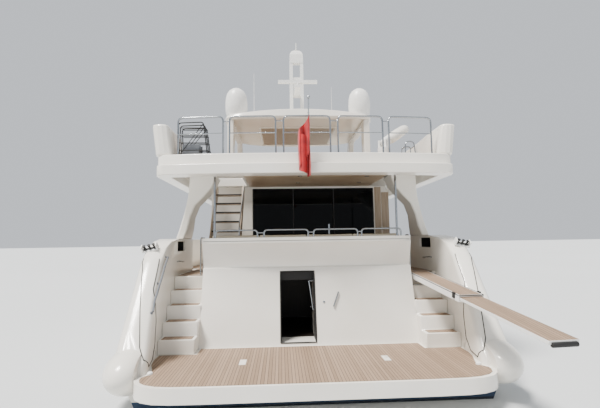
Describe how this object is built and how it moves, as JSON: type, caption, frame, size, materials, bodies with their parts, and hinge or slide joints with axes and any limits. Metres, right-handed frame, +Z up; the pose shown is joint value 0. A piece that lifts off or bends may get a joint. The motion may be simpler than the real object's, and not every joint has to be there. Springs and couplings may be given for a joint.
{
  "type": "flybridge motor yacht",
  "caption": "Flybridge motor yacht afloat, with bathing platform, side stairs, cockpit, hardtop, mast, davit and telescopic gangway.",
  "frame": {"origin": "amidships on the centreline, at the waterline", "axes": "+X to starboard, +Y towards the bow, +Z up"},
  "size_m": [7.18, 29.1954, 11.331],
  "materials": {
    "gelcoat": "glossy white moulded gelcoat",
    "teak": "weathered laid planks",
    "tinted_glass": "dark tinted",
    "stainless": "polished tube",
    "bronze": "cast and ground",
    "vinyl": "matt upholstery",
    "flag_cloth": "light woven polyester",
    "rubber": "moulded black trim",
    "painted_metal": "white sprayed",
    "sling": "brown open weave"
  },
  "bodies": {
    "hull": {"hull": "gelcoat", "bulwark_starboard": "gelcoat", "bulwark_port": "gelcoat", "quarter_wing_starboard": "gelcoat", "quarter_wing_port": "gelcoat", "swim_platform": "gelcoat", "stairs_starboard": "gelcoat", "stairs_port": "gelcoat", "transom": "gelcoat", "cockpit_sofa": "gelcoat", "cockpit_cushions": "vinyl", "cockpit_table": "teak", "deckhouse_starboard": "gelcoat", "deckhouse_port": "gelcoat", "deckhouse_front": "gelcoat", "side_glass_starboard": "tinted_glass", "side_glass_port": "tinted_glass", "windscreen": "tinted_glass", "aft_bulkhead": "gelcoat", "salon_door_frame": "tinted_glass", "flybridge_stairs": "gelcoat", "side_pillar_starboard": "gelcoat", "side_pillar_port": "gelcoat", "flybridge_deck": "gelcoat", "fly_bulwark": "gelcoat", "fly_windscreen": "tinted_glass", "transom_rail": "stainless", "fly_aft_rail": "stainless", "hardtop": "gelcoat", "hardtop_frame_starboard": "gelcoat", "hardtop_frame_port": "gelcoat", "radome_starboard": "gelcoat", "radome_port": "gelcoat", "mast": "gelcoat", "davit_post": "gelcoat", "fly_helm": "gelcoat", "fly_helm_seat": "vinyl", "fly_sofa": "vinyl", "fly_sunpad": "vinyl", "gangway_foot": "stainless", "flagstaff": "stainless", "flag": "flag_cloth", "bow_rail": "stainless", "foredeck_sunpad": "vinyl", "windlass": "stainless", "anchor": "stainless", "shaft_starboard": "bronze", "shaft_port": "bronze"},
    "crew_door": {"transom_door": "gelcoat"},
    "salon_door": {"salon_door_leaf": "tinted_glass"},
    "radar": {"radar_scanner": "gelcoat"},
    "davit_head": {"davit_head": "gelcoat"},
    "davit_boom": {"davit_boom": "gelcoat"},
    "gangway_inner": {"gangway_inner": "gelcoat"},
    "gangway_outer": {"gangway_outer": "teak"},
    "propeller_starboard": {"propeller_starboard": "bronze"},
    "propeller_port": {"propeller_port": "bronze"},
    "rudder_starboard": {"rudder_starboard": "bronze"},
    "rudder_port": {"rudder_port": "bronze"}
  },
  "joints": [
    {"name": "crew_door_hinge", "type": "hinge", "parent": "hull", "child": "crew_door", "pos_m": [0.15, -10.954, 1.27], "axis": [0, 0, 1], "range_deg": [0, 90]},
    {"name": "salon_door_slide", "type": "slide", "parent": "hull", "child": "salon_door", "axis": [-1, 0, 0], "range_m": [0, 1.19]},
    {"name": "radar_spin", "type": "hinge", "parent": "hull", "child": "radar", "pos_m": [0, -7.52, 7.78], "axis": [0, 0, 1], "continuous": true},
    {"name": "davit_slew", "type": "hinge", "parent": "hull", "child": "davit_head", "pos_m": [1.97, -10.4, 4.9], "axis": [0, 0, 1], "range_deg": [-60, 100]},
    {"name": "davit_luff", "type": "hinge", "parent": "davit_head", "child": "davit_boom", "pos_m": [1.97, -10.4, 5.13], "axis": [0.6691, -0.7431, 0], "range_deg": [0, 50]},
    {"name": "gangway_lift", "type": "hinge", "parent": "hull", "child": "gangway_inner", "pos_m": [2.59, -10.85, 1.94], "axis": [0.9962, 0.0872, 0], "range_deg": [-45, 4]},
    {"name": "gangway_extend", "type": "slide", "parent": "gangway_inner", "child": "gangway_outer", "axis": [-0.0865, 0.989, 0.1201], "range_m": [0, 1.5]},
    {"name": "propeller_starboard_spin", "type": "hinge", "parent": "hull", "child": "propeller_starboard", "pos_m": [1.25, -11.64, -1.32], "axis": [0, 0.9865, 0.1638], "continuous": true},
    {"name": "propeller_port_spin", "type": "hinge", "parent": "hull", "child": "propeller_port", "pos_m": [-1.25, -11.64, -1.32], "axis": [0, 0.9865, 0.1638], "continuous": true},
    {"name": "rudder_starboard_turn", "type": "hinge", "parent": "hull", "child": "rudder_starboard", "pos_m": [1.25, -12.35, -1.1], "axis": [0, 0, 1], "range_deg": [-35, 35]},
    {"name": "rudder_port_turn", "type": "hinge", "parent": "hull", "child": "rudder_port", "pos_m": [-1.25, -12.35, -1.1], "axis": [0, 0, 1], "range_deg": [-35, 35]}
  ],
  "couplings": [
    {"joint": "rudder_port_turn", "follows": "rudder_starboard_turn", "ratio": 1}
  ]
}
